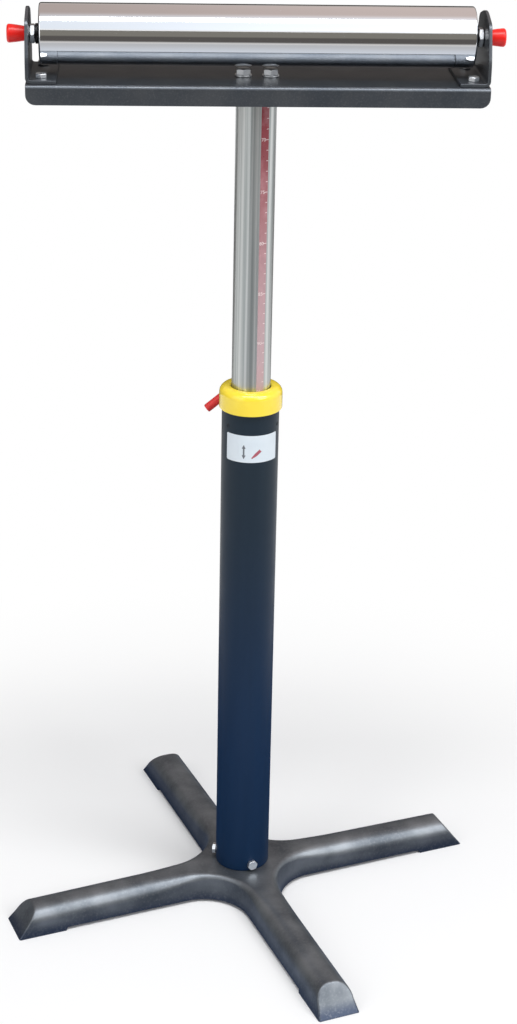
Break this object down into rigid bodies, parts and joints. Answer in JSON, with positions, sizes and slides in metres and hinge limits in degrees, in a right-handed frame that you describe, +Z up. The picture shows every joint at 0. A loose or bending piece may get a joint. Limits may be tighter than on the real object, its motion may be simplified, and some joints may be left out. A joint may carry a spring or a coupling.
{
  "type": "roller stand",
  "caption": "Free-standing roller stand: a cross base carries an upright tube with a sliding, swivelling post, clamped by a lever, and a free-turning roller that supports long work.",
  "frame": {"origin": "on the floor, under the middle of the post", "axes": "+Z up along the post, X along the roller, Y across it"},
  "size_m": [0.5032, 0.5032, 0.949],
  "materials": {
    "grey_paint": "satin dark grey paint",
    "tube_paint": "satin slate paint",
    "chrome_plate": "bright chrome plate",
    "satin_chrome": "satin chrome plate",
    "bearing_steel": "ground steel",
    "zinc_plate": "bright zinc plate",
    "black_steel": "black oxide",
    "brass": "turned",
    "yellow_plastic": "glossy moulded",
    "red_plastic": "glossy moulded",
    "white_nylon": "turned"
  },
  "bodies": {
    "base": {"cross_base": "grey_paint", "hub_spigot": "black_steel", "spigot_washer": "zinc_plate", "spigot_nut": "zinc_plate", "spigot_bolt": "zinc_plate", "outer_tube": "tube_paint", "tube_bolt_1": "zinc_plate", "tube_bolt_2": "zinc_plate", "tube_bolt_3": "zinc_plate", "guide_collar": "yellow_plastic", "collar_screw_1": "black_steel", "collar_screw_2": "black_steel", "collar_screw_3": "black_steel", "clamp_insert": "zinc_plate"},
    "slider": {"guide_bush": "white_nylon"},
    "post": {"inner_tube": "satin_chrome", "bush_circlip_lower": "black_steel", "bush_circlip_upper": "black_steel", "head_plate": "black_steel", "channel": "grey_paint", "head_washer_left": "zinc_plate", "head_washer_right": "zinc_plate", "head_bolt_left": "zinc_plate", "head_bolt_right": "zinc_plate", "bracket_left": "grey_paint", "bracket_right": "grey_paint", "foot_bolt_front_left": "zinc_plate", "foot_bolt_front_right": "zinc_plate", "foot_bolt_rear_left": "zinc_plate", "foot_bolt_rear_right": "zinc_plate", "foot_nut_front_left": "zinc_plate", "foot_nut_front_right": "zinc_plate", "foot_nut_rear_left": "zinc_plate", "foot_nut_rear_right": "zinc_plate", "axle": "zinc_plate", "axle_spacer_left": "black_steel", "axle_spacer_right": "black_steel", "axle_nut_left": "zinc_plate", "axle_nut_right": "zinc_plate", "bearing_inner_left": "bearing_steel", "bearing_inner_right": "bearing_steel"},
    "roller": {"roller_tube": "chrome_plate", "roller_end_left": "black_steel", "roller_end_right": "black_steel", "bearing_outer_left": "bearing_steel", "bearing_outer_right": "bearing_steel", "bearing_balls_left": "bearing_steel", "bearing_balls_right": "bearing_steel"},
    "clamp": {"clamp_screw": "zinc_plate", "clamp_pad": "brass", "clamp_lever": "zinc_plate", "lever_sleeve": "red_plastic"},
    "knob_left": {"knob_left": "red_plastic"},
    "knob_right": {"knob_right": "red_plastic"}
  },
  "joints": [
    {"name": "post_lift", "type": "slide", "parent": "base", "child": "slider", "axis": [0, 0, 1], "range_m": [-0.24, 0.06]},
    {"name": "post_swivel", "type": "hinge", "parent": "slider", "child": "post", "pos_m": [0, 0, 0.5], "axis": [0, 0, 1], "continuous": true},
    {"name": "roller_spin", "type": "hinge", "parent": "post", "child": "roller", "pos_m": [0, 0, 0.921], "axis": [1, 0, 0], "continuous": true},
    {"name": "clamp_turn", "type": "hinge", "parent": "base", "child": "clamp", "pos_m": [0, 0, 0.56815], "axis": [-0.0872, 0.9962, 0], "range_deg": [0, 270]},
    {"name": "knob_left_turn", "type": "hinge", "parent": "post", "child": "knob_left", "pos_m": [-0.2205, 0, 0.921], "axis": [-1, 0, 0], "range_deg": [0, 360]},
    {"name": "knob_right_turn", "type": "hinge", "parent": "post", "child": "knob_right", "pos_m": [0.2205, 0, 0.921], "axis": [1, 0, 0], "range_deg": [0, 360]}
  ]
}
